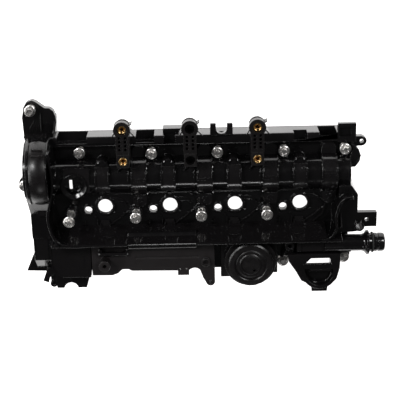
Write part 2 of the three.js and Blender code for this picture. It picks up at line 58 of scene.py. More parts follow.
# Places are given in millimetres from a line just in front of the injector row, at the flange's underside.
holeRow = 4
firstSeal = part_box("injector_seal_1")
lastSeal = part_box("injector_seal_4")
origin = Vector((
    (firstSeal[0].x + lastSeal[1].x) / 2,
    (firstSeal[0].y + firstSeal[1].y) / 2 - holeRow * mm,
    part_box("cover_shell")[0].z))
pitch = (lastSeal[0].x - firstSeal[0].x) / 3 / mm
injectorX = [(i - 1.5) * pitch for i in range(4)]
heights = {"valley": 38, "ring": 39.5, "ledge": 24, "roof": 34, "ear": 12, "rim": 77}


def spot(x, y, z):
    return origin + Vector((x, y, z)) * mm


def rowBox(node):
    low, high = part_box(node)
    return (low - origin) / mm, (high - origin) / mm


# ---- modelling helpers

def only(piece):
    bpy.ops.object.select_all(action="DESELECT")
    piece.select_set(True)
    bpy.context.view_layer.objects.active = piece


def settle(piece):
    only(piece)
    bpy.ops.object.transform_apply(location=True, rotation=True, scale=True)
    return piece


def faceOutwards(piece):
    only(piece)
    bpy.ops.object.mode_set(mode="EDIT")
    bpy.ops.mesh.select_all(action="SELECT")
    bpy.ops.mesh.remove_doubles(threshold=0.00001)
    bpy.ops.mesh.normals_make_consistent(inside=False)
    bpy.ops.object.mode_set(mode="OBJECT")


def block(x0, x1, y0, y1, z0, z1):
    centre = spot((x0 + x1) / 2, (y0 + y1) / 2, (z0 + z1) / 2)
    size = Vector((x1 - x0, y1 - y0, z1 - z0)) * mm
    bpy.ops.mesh.primitive_cube_add(size=1, location=centre, scale=size)
    return settle(bpy.context.object)


# A straight rib from one place to another.
def rib(start, end, width, low, high):
    (x0, y0), (x1, y1) = start, end
    length = math.hypot(x1 - x0, y1 - y0)
    bpy.ops.mesh.primitive_cube_add(
        size=1, location=spot((x0 + x1) / 2, (y0 + y1) / 2, (low + high) / 2),
        rotation=(0, 0, math.atan2(y1 - y0, x1 - x0)),
        scale=(length * mm, width * mm, (high - low) * mm))
    return settle(bpy.context.object)


def disc(x, y, z0, z1, radius, sides=40):
    bpy.ops.mesh.primitive_cylinder_add(
        vertices=sides, radius=radius * mm, depth=(z1 - z0) * mm, location=spot(x, y, (z0 + z1) / 2))
    return settle(bpy.context.object)


# A turned shape: rings of (radius, height), extruded one after the other. An open one is a tube wall.
def turned(x, y, rings, sides=40, tube=False):
    radius, height = rings[0]
    centre = spot(x, y, 0)
    bpy.ops.mesh.primitive_circle_add(
        vertices=sides, radius=radius * mm, fill_type="NOTHING" if tube else "NGON",
        location=spot(x, y, height))
    piece = settle(bpy.context.object)
    bpy.ops.object.mode_set(mode="EDIT")
    bpy.ops.mesh.select_all(action="SELECT")
    for nextRadius, nextHeight in rings[1:]:
        bpy.ops.mesh.extrude_region_move(
            TRANSFORM_OT_translate={"value": (0, 0, (nextHeight - height) * mm)})
        ratio = nextRadius / radius
        bpy.ops.transform.resize(value=(ratio, ratio, 1), center_override=centre)
        radius, height = nextRadius, nextHeight
    if tube:
        bpy.ops.mesh.select_non_manifold(extend=False)
        bpy.ops.mesh.bridge_edge_loops()
    bpy.ops.object.mode_set(mode="OBJECT")
    faceOutwards(piece)
    return piece


# A curved rib: a small upright plane spun about a centre.
def curvedRib(centre, radius, start, end, width, low, high, steps=16):
    cx, cy = centre
    begin = math.radians(start)
    bpy.ops.mesh.primitive_plane_add(
        size=1, rotation=(math.pi / 2, 0, begin),
        location=spot(cx + radius * math.cos(begin), cy + radius * math.sin(begin), (low + high) / 2))
    piece = bpy.context.object
    piece.scale = (width * mm, (high - low) * mm, 1)
    settle(piece)
    bpy.ops.object.mode_set(mode="EDIT")
    bpy.ops.mesh.select_all(action="SELECT")
    bpy.ops.mesh.spin(
        steps=steps, angle=math.radians(start - end), center=spot(cx, cy, 0), axis=(0, 0, 1))
    bpy.ops.object.mode_set(mode="OBJECT")
    faceOutwards(piece)
    return piece


# A small corner facet that leans towards the tower side and one end.
def facet(x, y, z, side, width=1.8, length=3.4):
    lean = Vector((0.27 * side, 0.44, 0.857))
    bpy.ops.mesh.primitive_cube_add(
        size=1, location=spot(x, y, z), rotation=lean.to_track_quat("Z", "Y").to_euler(),
        scale=(width * mm, length * mm, 2.4 * mm))
    return settle(bpy.context.object)


def joined(parts):
    bpy.ops.object.select_all(action="DESELECT")
    for part in parts:
        part.select_set(True)
    bpy.context.view_layer.objects.active = parts[0]
    if len(parts) > 1:
        bpy.ops.object.join()
    return bpy.context.object


def carve(piece, tools, operation="DIFFERENCE"):
    tool = joined(tools)
    only(piece)
    change = piece.modifiers.new("carve", "BOOLEAN")
    change.operation = operation
    change.solver = "EXACT"
    change.object = tool
    bpy.ops.object.modifier_apply(modifier=change.name)
    bpy.data.objects.remove(tool)
    return piece


# Rounded edges, and shading that keeps the flat faces flat.
def soften(piece, width, segments=2, angle=32, clamp=True):
    only(piece)
    edge = piece.modifiers.new("edge", "BEVEL")
    edge.width = width * mm
    edge.segments = segments
    edge.limit_method = "ANGLE"
    edge.angle_limit = math.radians(angle)
    edge.use_clamp_overlap = clamp
    edge.loop_slide = False
    bpy.ops.object.modifier_apply(modifier=edge.name)
    bpy.ops.object.shade_smooth_by_angle(angle=math.radians(angle + 4))
    even = piece.modifiers.new("even", "WEIGHTED_NORMAL")
    even.keep_sharp = True
    bpy.ops.object.modifier_apply(modifier=even.name)
    return piece


def fit(piece, name, material, replaced=(), body="cover"):
    piece.name = name
    piece.data.name = name
    piece.data.materials.clear()
    piece.data.materials.append(material)
    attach(piece, body)
    if replaced:
        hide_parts(*replaced)
    return piece


# Lays an upright turned shape along the engine.
def layAlong(piece, x, y, z):
    piece.data.transform(Matrix.Translation(-spot(0, 0, 0)))
    piece.rotation_euler = (0, math.pi / 2, 0)
    piece.location = spot(x, y, z)
    return settle(piece)


# A merged copy of a plain node.
def copied(node):
    piece = bpy.data.objects.new(node + "_fine", cadNodes[node].data.copy())
    bpy.context.scene.collection.objects.link(piece)
    only(piece)
    bpy.ops.object.mode_set(mode="EDIT")
    bpy.ops.mesh.select_all(action="SELECT")
    bpy.ops.mesh.remove_doubles(threshold=0.00012)
    bpy.ops.mesh.tris_convert_to_quads(face_threshold=0.02, shape_threshold=3.0)
    bpy.ops.object.mode_set(mode="OBJECT")
    return piece


def refined(node, width):
    return soften(copied(node), width, clamp=False)


# ---- shader groups

def newGroup(name, inputs, outputs):
    group = bpy.data.node_groups.new(name, "ShaderNodeTree")
    for label, kind, value in inputs:
        socket = group.interface.new_socket(label, in_out="INPUT", socket_type=kind)
        if value is not None:
            socket.default_value = value
    for label, kind in outputs:
        group.interface.new_socket(label, in_out="OUTPUT", socket_type=kind)
    return group, group.nodes.new("NodeGroupInput"), group.nodes.new("NodeGroupOutput")


def noiseNode(tree, scale, detail=3, rough=0.55):
    place = tree.nodes.new("ShaderNodeTexCoord")
    noise = tree.nodes.new("ShaderNodeTexNoise")
    noise.inputs["Scale"].default_value = scale
    noise.inputs["Detail"].default_value = detail
    noise.inputs["Roughness"].default_value = rough
    tree.links.new(place.outputs["Object"], noise.inputs["Vector"])
    return noise


def rangeNode(tree, low, high, toLow, toHigh, source):
    ranged = tree.nodes.new("ShaderNodeMapRange")
    values = {"From Min": low, "From Max": high, "To Min": toLow, "To Max": toHigh}
    for label, value in values.items():
        ranged.inputs[label].default_value = value
    tree.links.new(source, ranged.inputs["Value"])
    return ranged.outputs["Result"]


def mixNode(tree, amount, first, second):
    mix = tree.nodes.new("ShaderNodeMix")
    mix.data_type = "RGBA"
    tree.links.new(amount, mix.inputs["Factor"])
    tree.links.new(first, mix.inputs["A"])
    tree.links.new(second, mix.inputs["B"])
    return mix.outputs["Result"]


# Moulded nylon: faint flow marks, rubbed edges, a fine erosion grain.
def makeMoulding():
    group, start, end = newGroup("mouldedNylon", [
        ("Colour", "NodeSocketColor", (0.01, 0.01, 0.01, 1)),
        ("Rubbed", "NodeSocketColor", (0.05, 0.05, 0.05, 1)),
        ("Smooth", "NodeSocketFloat", 0.2),
        ("Rough", "NodeSocketFloat", 0.35),
    ], [("Colour", "NodeSocketColor"), ("Roughness", "NodeSocketFloat"), ("Grain", "NodeSocketFloat")])
    flow = noiseNode(group, 22, 4)
    marks = noiseNode(group, 140, 3)
    grain = noiseNode(group, 1500, 2)
    shape = group.nodes.new("ShaderNodeNewGeometry")
    worn = rangeNode(group, 0.505, 0.56, 0, 0.55, shape.outputs["Pointiness"])
    blotch = rangeNode(group, 0.42, 0.68, 0, 0.12, flow.outputs["Fac"])
    most = group.nodes.new("ShaderNodeMath")
    most.operation = "MAXIMUM"
    group.links.new(worn, most.inputs[0])
    group.links.new(blotch, most.inputs[1])
    colour = mixNode(group, most.outputs[0], start.outputs["Colour"], start.outputs["Rubbed"])
    spread = group.nodes.new("ShaderNodeMapRange")
    spread.inputs["From Min"].default_value = 0.35
    spread.inputs["From Max"].default_value = 0.65
    group.links.new(marks.outputs["Fac"], spread.inputs["Value"])
    group.links.new(start.outputs["Smooth"], spread.inputs["To Min"])
    group.links.new(start.outputs["Rough"], spread.inputs["To Max"])
    group.links.new(colour, end.inputs["Colour"])
    group.links.new(spread.outputs["Result"], end.inputs["Roughness"])
    group.links.new(grain.outputs["Fac"], end.inputs["Grain"])
    return group


# Plated or cast metal: crystal patches, small stains, tool marks.
def makeMetalSkin():
    group, start, end = newGroup("metalSkin", [
        ("Colour", "NodeSocketColor", (0.7, 0.7, 0.7, 1)),
        ("Stain", "NodeSocketColor", (0.3, 0.3, 0.3, 1)),
        ("Smooth", "NodeSocketFloat", 0.25),
        ("Rough", "NodeSocketFloat", 0.5),
    ], [("Colour", "NodeSocketColor"), ("Roughness", "NodeSocketFloat"), ("Grain", "NodeSocketFloat")])
    place = group.nodes.new("ShaderNodeTexCoord")
    patches = group.nodes.new("ShaderNodeTexVoronoi")
    patches.inputs["Scale"].default_value = 620
    group.links.new(place.outputs["Object"], patches.inputs["Vector"])
    stains = noiseNode(group, 330, 5, 0.65)
    fine = noiseNode(group, 1900, 2)
    tone = group.nodes.new("ShaderNodeRGBToBW")
    group.links.new(patches.outputs["Color"], tone.inputs["Color"])
    crystals = rangeNode(group, 0.2, 0.9, 0, 0.5, tone.outputs["Val"])
    dirt = rangeNode(group, 0.5, 0.68, 0, 0.85, stains.outputs["Fac"])
    both = group.nodes.new("ShaderNodeMath")
    both.operation = "ADD"
    both.use_clamp = True
    group.links.new(crystals, both.inputs[0])
    group.links.new(dirt, both.inputs[1])
    colour = mixNode(group, both.outputs[0], start.outputs["Colour"], start.outputs["Stain"])
    spread = group.nodes.new("ShaderNodeMapRange")
    group.links.new(both.outputs[0], spread.inputs["Value"])
    group.links.new(start.outputs["Smooth"], spread.inputs["To Min"])
    group.links.new(start.outputs["Rough"], spread.inputs["To Max"])
    group.links.new(colour, end.inputs["Colour"])
    group.links.new(spread.outputs["Result"], end.inputs["Roughness"])
    group.links.new(fine.outputs["Fac"], end.inputs["Grain"])
    return group


def newMaterial(name, group, look):
    material = bpy.data.materials.new(name)
    material.use_nodes = True
    tree = material.node_tree
    shader = tree.nodes["Principled BSDF"]
    skin = tree.nodes.new("ShaderNodeGroup")
    skin.node_tree = group
    for label, value in look["skin"].items():
        skin.inputs[label].default_value = (*value, 1) if isinstance(value, tuple) else value
    bump = tree.nodes.new("ShaderNodeBump")
    bump.inputs["Strength"].default_value = look["bump"]
    bump.inputs["Distance"].default_value = look["bumpDepth"] * mm
    tree.links.new(skin.outputs["Colour"], shader.inputs["Base Color"])
    tree.links.new(skin.outputs["Roughness"], shader.inputs["Roughness"])
    tree.links.new(skin.outputs["Grain"], bump.inputs["Height"])
    tree.links.new(bump.outputs["Normal"], shader.inputs["Normal"])
    shader.inputs["Metallic"].default_value = look.get("metallic", 0)
    shader.inputs["IOR"].default_value = look.get("ior", 1.5)
    return material


finishes = {
    "cover": {"skin": {"Colour": (0.0032, 0.003, 0.0033), "Rubbed": (0.009, 0.008, 0.0085),
                       "Smooth": 0.1, "Rough": 0.19}, "bump": 0.1, "bumpDepth": 0.05, "ior": 1.52},
    "mirror": {"skin": {"Colour": (0.0032, 0.003, 0.0033), "Rubbed": (0.008, 0.007, 0.0075),
                        "Smooth": 0.02, "Rough": 0.045}, "bump": 0, "bumpDepth": 0.05, "ior": 1.56},
    "lid": {"skin": {"Colour": (0.0085, 0.0068, 0.0072), "Rubbed": (0.018, 0.0155, 0.0155),
                     "Smooth": 0.42, "Rough": 0.56}, "bump": 0.35, "bumpDepth": 0.08, "ior": 1.38},
    "satin": {"skin": {"Colour": (0.005, 0.0043, 0.0046), "Rubbed": (0.012, 0.0105, 0.0105),
                       "Smooth": 0.26, "Rough": 0.36}, "bump": 0.25, "bumpDepth": 0.07, "ior": 1.42},
    "rubber": {"skin": {"Colour": (0.009, 0.009, 0.0092), "Rubbed": (0.022, 0.021, 0.02),
                        "Smooth": 0.62, "Rough": 0.78}, "bump": 0.4, "bumpDepth": 0.06, "ior": 1.45},
    "zinc": {"skin": {"Colour": (0.86, 0.84, 0.82), "Stain": (0.42, 0.4, 0.38),
                      "Smooth": 0.24, "Rough": 0.46}, "bump": 0.35, "bumpDepth": 0.08, "metallic": 1},
    "brass": {"skin": {"Colour": (0.88, 0.6, 0.28), "Stain": (0.6, 0.36, 0.13),
                       "Smooth": 0.2, "Rough": 0.38}, "bump": 0.2, "bumpDepth": 0.05, "metallic": 1},
}
moulding = makeMoulding()
metalSkin = makeMetalSkin()
materials = {
    name: newMaterial(name, metalSkin if look.get("metallic") else moulding, look)
    for name, look in finishes.items()
}
print("materials ready")


# ---- head cover

# The moulded body of the cover: pockets in its outer rail wall, flared injector holes, edges rounded.
shellLook = {"edge": 0.7, "back": 104, "overhang": math.radians(8.4),
             "pockets": [(-199, -158, 20.9), (-90, -65, 20.9), (-51, -36, 34), (128, 146, 37),
                         (163, 187, 20.9)]}


def makeShell():
    piece = copied("cover_shell")
    back = shellLook["back"]
    for x0, x1, middle in shellLook["pockets"]:
        carve(piece, [block(x0 - 3, x1 + 3, back - 16, back - 1, middle - 18, 26)], "UNION")
        bpy.ops.mesh.primitive_cube_add(
            size=1, location=spot((x0 + x1) / 2, back - 0.1, middle), rotation=(-shellLook["overhang"], 0, 0),
            scale=((x1 - x0) * mm, 22 * mm, 32 * mm))
        carve(piece, [settle(bpy.context.object)])
    carve(piece, [block(-53, -27, back - 1, back + 5.5, 1, 20)], "UNION")
    for x in injectorX:
        carve(piece, [turned(x, holeRow, [(14.6, 33), (10.5, 37.4), (10.5, 37.6)], 48)])
    return soften(piece, shellLook["edge"], clamp=False)


shell = makeShell()
fit(shell, "head_cover", materials["cover"], ["cover_shell"])
print("shell", len(shell.data.polygons))

# The slanted front wall of the injector valley, hollowed so it mirrors the holes.
wallLook = {"from": -188, "to": 172, "points": [(-24.5, 38.2), (-27.3, 44), (-29.8, 49.5), (-32.8, 57.3),
                                                (-35.8, 65.8), (-38.1, 72.9), (-39.2, 76.9)]}


def makeValleyWall():
    x0, x1 = wallLook["from"], wallLook["to"]
    points = wallLook["points"]
    y, z = points[0]
    bpy.ops.mesh.primitive_plane_add(size=1, location=spot((x0 + x1) / 2, y, z))
    piece = bpy.context.object
    piece.scale = ((x1 - x0) * mm, 0.2 * mm, 1)
    settle(piece)
    bpy.ops.object.mode_set(mode="EDIT")
    bpy.ops.mesh.select_all(action="SELECT")
    bpy.ops.transform.translate(value=(0, -0.1 * mm, 0))
    # The plane becomes the front face of a sheet, drawn up along the curve.
    bpy.ops.mesh.select_all(action="DESELECT")
    sheet = bmesh.from_edit_mesh(piece.data)
    inner = max(vertex.co.y for vertex in sheet.verts)
    for vertex in sheet.verts:
        vertex.select = vertex.co.y > inner - 0.05 * mm
    sheet.select_flush(True)
    bmesh.update_edit_mesh(piece.data)
    for nextY, nextZ in points[1:]:
        bpy.ops.mesh.extrude_region_move(
            TRANSFORM_OT_translate={"value": (0, (nextY - y) * mm, (nextZ - z) * mm)})
        y, z = nextY, nextZ
    bpy.ops.object.mode_set(mode="OBJECT")
    thick = piece.modifiers.new("thick", "SOLIDIFY")
    thick.thickness = 1.2 * mm
    thick.offset = 0
    bpy.ops.object.modifier_apply(modifier=thick.name)
    faceOutwards(piece)
    bpy.ops.object.shade_smooth_by_angle(angle=math.radians(30))
    return piece


fit(makeValleyWall(), "valley_wall", materials["mirror"])

# The timing dome's crown, barrelled between its two rims.
domeLook = {"y": 60, "z": 44, "profile": [
    (-234.2, 42), (-233.8, 44.6), (-231, 45.6), (-227, 46.6), (-222.5, 47),
                                          (-218, 46.6), (-214, 45.6), (-210.8, 44.6), (-210.4, 42)]}


def makeDomeCrown():
    profile = domeLook["profile"]
    low = profile[0][0]
    piece = turned(0, 0, [(radius, x - low) for x, radius in profile] + [(38, profile[-1][0] - low), (38, 0)],
                   128, tube=True)
    layAlong(piece, low, domeLook["y"], domeLook["z"])
    carve(piece, [block(-260, -190, -20, 150, -20, 54)])
    bars = []
    for y, z in ((98.5, 71.5), (92, 78.5)):
        bars.append(rib((-229, y), (-214, y), 2.2, z - 3, z + 1.4))
    return soften(joined([piece, *bars]), 0.4)


fit(makeDomeCrown(), "dome_crown", materials["satin"])

# The oblique port beside the dome: a platform on the bulge, a dished ring, a tube and webs.
portLook = {"x": -177, "y": 40, "top": 54.5}


def makePortBoss():
    x, y, top = portLook["x"], portLook["y"], portLook["top"]
    platform = block(-190, -155, 30, 65, 40, top)
    ring = turned(x, y, [(19, 40), (18.6, top + 1.6), (17.8, top + 2.4), (16.6, top + 2.2), (12.4, top - 0.4),
                         (11.6, top - 0.4), (11.6, top - 2.4), (11.6, 44)], 64, tube=True)
    carve(platform, [disc(x, y, 30, 70, 12.4, 64)])
    carve(platform, [block(-183, -179, 20, 50, 30, 70)])
    carve(ring, [block(-183, -179, 20, 50, 30, top)])
    tube = turned(x + 4.6, y - 1, [(6, 46), (5.8, top + 2.6), (5, top + 3.4), (4.2, top + 3),
        (3.8, top), (3.8, 46)],
                  40, tube=True)
    webs = [rib((-171, 25.5), (-157.5, 32.5), 1.8, 40, 51), rib((-166, 46), (-155, 52), 1.6, 48, top + 1.2),
            rib((-190, 52), (-184, 49), 1.6, 48, top + 1.2), rib((-169, 20), (-160, 26), 1.6, 36, 46),
            block(-190.4, -154.6, 64, 65.4, 40, top + 0.7)]
    return soften(joined([platform, ring, tube, *webs]), 0.35)


fit(makePortBoss(), "oblique_port", materials["cover"])

# Ribs, rims and a panel on the left end; beads on the rail; edges on the housing.


def makeEndTrim():
    parts = [
        rib((-221.5, 109), (-221.5, 134), 1.5, 10, 14.6),
        rib((-238, 112), (-231, 122), 1.2, 10, 13),
        block(-245, -213, 103.2, 104.6, 10, 30),
        # Housing: a bead along its left side and round the front, one short upright.
        rib((-216, -49), (-216, -76), 1.4, 48, 51.4),
        curvedRib((-192, -76), 24, 180, 248, 1.4, 48, 51.4),
        rib((-160.4, -50), (-160.4, -96), 1.2, 48, 51),
        rib((-170, -66), (-170, -88), 1.2, 48, 51),
        # Step and panel on the front left shoulder.
        curvedRib((-231, -60), 23, 62, 108, 1.4, 38, 47),
        block(-237, -220.5, -74, -42, 38, 41),
        # Trapezoid pad on the dome's front.
        rib((-230, 2), (-218, 2), 12, 40, 52),
    ]
    # Bead along the ledge, with half rings round the bolts.
    stops = [-157, -80.6, -58.4, 10.9, 33.1, 102.9, 125.1, 150]
    parts += [block(x0, x1, 85.5, 86.6, 23, 25.6) for x0, x1 in zip(stops[1::2], stops[2::2])]
    parts += [curvedRib((x, 79), 11, 38, 142, 1.1, 23, 25.6) for x in (-69.5, 22, 114)]
    parts += [curvedRib((x, y), 11.4, 150, 400, 1.2, 23, 25) for x, y in ((-168.5, 82), (199, 80))]
    return soften(joined(parts), 0.35)


fit(makeEndTrim(), "end_trim", materials["cover"])

# Raised rings round the injector holes and the ports.
rings = {"injector": (10.35, 13.6), "port": (5.35, 7.2), "portShift": (-23.8, -1.5)}


def makeHoleRings():
    parts = []
    z = heights["ring"]
    for x in injectorX:
        inner, outer = rings["injector"]
        parts.append(turned(x, holeRow, [
            (outer + 0.8, z - 2.5), (outer + 0.4, z), (outer, z + 0.7), (inner + 1.2, z + 0.8),
            (inner + 0.3, z + 0.3), (inner, z - 0.6), (inner, z - 2.5)], 64, tube=True))
        inner, outer = rings["port"]
        dx, dy = rings["portShift"]
        parts.append(turned(x + dx, dy, [
            (outer + 0.5, z - 2.5), (outer, z + 0.5), (inner + 0.7, z + 0.7), (inner, z),
            (inner, z - 2.5)], 40, tube=True))
    return joined(parts)


holeRings = makeHoleRings()
soften(holeRings, 0.25)
fit(holeRings, "hole_rings", materials["cover"])

# Ribs, pads and blocks that stand on the floor of the injector valley.
valleyTrim = {"floor": 37.6, "pad": 39.4, "block": 42.5, "edge": 0.45}


def makeValleyTrim():
    floor, pad, top = valleyTrim["floor"], valleyTrim["pad"], valleyTrim["block"]
    parts = []
    for number, x in enumerate(injectorX):
        # The block below the hole, between two upright cheeks.
        parts.append(block(x - 7.4, x + 5, -27.5, -16.5, floor, top - 2))
        parts.append(block(x - 9, x - 7, -29, -20.5, floor, top + 1))
        parts.append(block(x + 4.6, x + 6.6, -29, -20.5, floor, top + 1))
        # The swept rib that runs up to the right of the hole.
        parts.append(rib((x + 4.5, -25), (x + 11.4, -19.4), 1.7, floor, pad + 2))
        parts.append(rib((x + 10.8, -19.6), (x + 21.4, -12.8), 1.7, floor, pad + 2))
        parts.append(rib((x + 20.8, -13.2), (x + 28.6, -5.4), 1.7, floor, pad + 1.6))
        parts.append(curvedRib((x + 15, 2), 14.6, 10, 110, 1.5, floor, pad + 0.6))
        # Two ejector studs.
        parts.append(disc(x - 14, -11.5, floor, pad + 1.2, 1.3, 16))
        parts.append(disc(x - 31.5, -21.5, floor, pad + 1.2, 1.5, 16))
        # Ribs at the foot of the wall.
        parts.append(block(x + 11, x + 30, -28.2, -27, floor, pad + 2))
        parts.append(block(x - 29, x - 11, -28.6, -27.2, floor, pad + 2.4))
        parts.append(rib((x - 29, -17), (x - 29, -28), 1.3, floor, pad + 3))
        parts.append(rib((x - 11.5, -14), (x - 11.5, -28), 1.3, floor, pad + 2))
    # Ribs at the right end of the valley.
    parts.append(rib((155, -24), (168, -12), 1.8, floor, pad + 3))
    parts.append(rib((168, -12), (172, 4), 1.8, floor, pad + 3))
    return joined(parts)


valleyParts = makeValleyTrim()
soften(valleyParts, valleyTrim["edge"])
fit(valleyParts, "valley_ribs", materials["cover"])
print("valley trim")

# Belts over the camshaft bulge: cross ridges, studs on their feet, arch shoulders, sight bosses.
bulge = {"y": 45, "z": 28, "radius": 25, "strapHalf": 10.3, "archHalf": 9.5, "archEnd": 65}


# A band round part of the bulge, at a radius, between two angles.
def band(x0, x1, radius, start, end, thick, steps=14):
    begin = math.radians(start)
    centre = spot((x0 + x1) / 2, bulge["y"], bulge["z"])
    bpy.ops.mesh.primitive_plane_add(
        size=1, location=centre + Vector((0, math.cos(begin), math.sin(begin))) * radius * mm)
    piece = bpy.context.object
    piece.scale = ((x1 - x0) * mm, thick * mm, 1)
    piece.rotation_euler = (begin, 0, 0)
    settle(piece)
    bpy.ops.object.mode_set(mode="EDIT")
    bpy.ops.mesh.select_all(action="SELECT")
    bpy.ops.mesh.spin(steps=steps, angle=math.radians(start - end), center=centre, axis=(1, 0, 0))
    bpy.ops.object.mode_set(mode="OBJECT")
    faceOutwards(piece)
    return piece


def makeBulgeTrim():
    parts = []
    straps = [x + 49.5 for x in injectorX[:3]] + [injectorX[3] + 40]
    for number, x in enumerate(straps):
        half = bulge["strapHalf"]
        outer = bulge["radius"] + 4
        for angle in ((80, 87) if number < 3 else (70, 77, 84)):
            parts.append(band(x - half + 0.6, x + half - 0.6, outer + 0.3, angle, angle + 2.6, 1.4, 3))
        parts.append(band(x - half - 0.3, x - half + 1.3, outer + 0.2, 16, 140, 1.8, 20))
        parts.append(band(x + half - 1.3, x + half + 0.3, outer + 0.2, 16, 140, 1.8, 20))
        parts.append(turned(x, 14.5, [(4.2, 44.5), (4.2, 45.5), (3.6, 45.9), (2.2, 45.7), (0.9, 46.2)], 28))
        for side in (-1, 1):
            edge = x + side * (half - 0.4)
            parts.append(facet(edge, 23, 45.6, side))
            parts.append(facet(edge, 61.5, 50.4, side, length=4))
    for x in (px - 1 for px in injectorX):
        half = bulge["archHalf"]
        outer = bulge["radius"] + 5
        parts.append(band(x - half - 0.6, x - half + 1.7, outer + 0.3, 50, 112, 2.2, 16))
        parts.append(band(x + half - 1.7, x + half + 0.6, outer + 0.3, 50, 112, 2.2, 16))
        parts.append(curvedRib((x, bulge["archEnd"]), half - 1.2, 0, 180, 2.6, 45, 49.4))
        parts += [facet(x + side * 5.2, bulge["archEnd"] + 6.2, 48.2, side, 2.2, 2.6) for side in (-1, 1)]
        # The saddle below the arch's foot.
        parts.append(band(x - half - 6, x + half + 6, bulge["radius"] + 0.5, 118, 134, 1.2, 8))
    for x in (-105.2, -14.2, 76.8):
        parts.append(band(x + 2.6, x + 4.2, bulge["radius"] + 0.6, 52, 116, 1.6, 18))
        parts.append(band(x - 14, x + 4, bulge["radius"] + 0.5, 114, 117, 1.4, 4))
        parts.append(rib((x + 8, 64.6), (x + 13, 57.2), 1.6, 46, 52.4))
        parts.append(rib((x - 6.5, 63.8), (x - 10.8, 59.4), 1.6, 46, 52.4))
    return joined(parts)


bulgeParts = makeBulgeTrim()
soften(bulgeParts, 0.6, segments=3)
fit(bulgeParts, "bulge_bands", materials["cover"])

# Bosses with a blind hole that stand on the bulge.
bosses = [(-44.7, 28.9, 50, 5.2), (140.2, 55.7, 54.6, 5.4), (-15.3, 23.1, 44.5, 3)]


def makeBosses():
    parts = []
    for x, y, top, radius in bosses:
        parts.append(turned(x, y, [
            (radius + 1.4, top - 9), (radius, top - 0.8), (radius - 0.8, top), (radius - 1.7, top),
            (radius - 2, top - 0.4), (radius - 2, top - 5)], 32))
    return joined(parts)


bossParts = makeBosses()
soften(bossParts, 0.25)
fit(bossParts, "bulge_bosses", materials["cover"])
print("bulge trim")

# ---- bolts, sleeves and inserts

boltLook = {"flange": 8, "hex": 4.9, "shank": 3.1, "thread": 0.42, "threadPitch": 1.0, "head": 8}


def makeBolt(node):
    low, high = rowBox(node)
    x, y = (low.x + high.x) / 2, (low.y + high.y) / 2
    under = high.z - boltLook["head"]
    flange, shank = boltLook["flange"], boltLook["shank"]
    rings = [(1.7, low.z), (2.2, low.z + 2.6)]
    z = low.z + 3
    while z < under - 12:
        rings += [(shank - boltLook["thread"], z), (shank, z + 0.35), (shank, z + 0.5)]
        z += boltLook["threadPitch"]
    rings += [(shank - 0.3, z), (shank, z + 0.6), (shank, under), (flange - 0.5, under),
        (flange, under + 0.4),
              (flange, under + 1), (flange - 0.5, under + 1.5), (5.6, under + 2.4)]
    body = turned(x, y, rings, 32)
    hexagon = boltLook["hex"]
    bpy.ops.mesh.primitive_cylinder_add(
        vertices=6, radius=hexagon * mm, depth=(high.z - under - 1.6) * mm,
        location=spot(x, y, (high.z + under + 1.6) / 2), rotation=(0, 0, 0.3 + x))
    head = settle(bpy.context.object)
    bpy.ops.object.mode_set(mode="EDIT")
    bpy.ops.mesh.select_all(action="DESELECT")
    mesh = bmesh.from_edit_mesh(head.data)
    for face in mesh.faces:
        face.select = face.normal.z > 0.9
    bmesh.update_edit_mesh(head.data)
    bpy.ops.mesh.inset(thickness=1.1 * mm, depth=0)
    bpy.ops.mesh.inset(thickness=0.5 * mm, depth=-0.6 * mm)
    bpy.ops.object.mode_set(mode="OBJECT")
    piece = joined([body, head])
    return soften(piece, 0.28, segments=2, angle=30)


boltCount = 0
for node in sorted(cadNodes):
    if "bolt" in node:
        piece = makeBolt(node)
        fit(piece, node + "_turned", materials["zinc"], [node], node)
        boltCount += 1
    elif "sleeve" in node:
        low, high = rowBox(node)
        piece = turned((low.x + high.x) / 2, (low.y + high.y) / 2, [
            (5.9, low.z), (6.2, low.z + 0.4), (6.2, high.z - 0.5), (5.8, high.z),
            (4.4, high.z), (3.9, high.z - 0.6), (3.9, low.z + 0.6), (4.3, low.z)], 40, tube=True)
        soften(piece, 0.12)
        fit(piece, node + "_turned", materials["zinc"], [node])
    elif "insert" in node:
        low, high = rowBox(node)
        rings = [(5.2, low.z), (6.2, low.z + 0.6), (6.2, high.z - 1), (5.9, high.z - 0.2), (5.5, high.z),
                 (4.6, high.z), (3.9, high.z - 0.5), (3.1, high.z - 1.6), (2.5, high.z - 2)]
        for turn in range(8):
            z = high.z - 2.4 - turn
            rings += [(2.75, z), (2.4, z - 0.45)]
        rings += [(2.4, low.z)]
        piece = turned((low.x + high.x) / 2, (low.y + high.y) / 2, rings, 40, tube=True)
        soften(piece, 0.12, segments=1)
        fit(piece, node + "_turned", materials["brass"], [node])
print("fasteners", boltCount)

# ---- mounting towers

towerLook = {"bossRadius": 11.6, "half": 8.6, "bossDepth": 20, "pocket": 16.3, "pocketRadius": 6.6,
             "bossY": 123.5, "blockY": 79.5, "web": 36.6, "edge": 0.5}


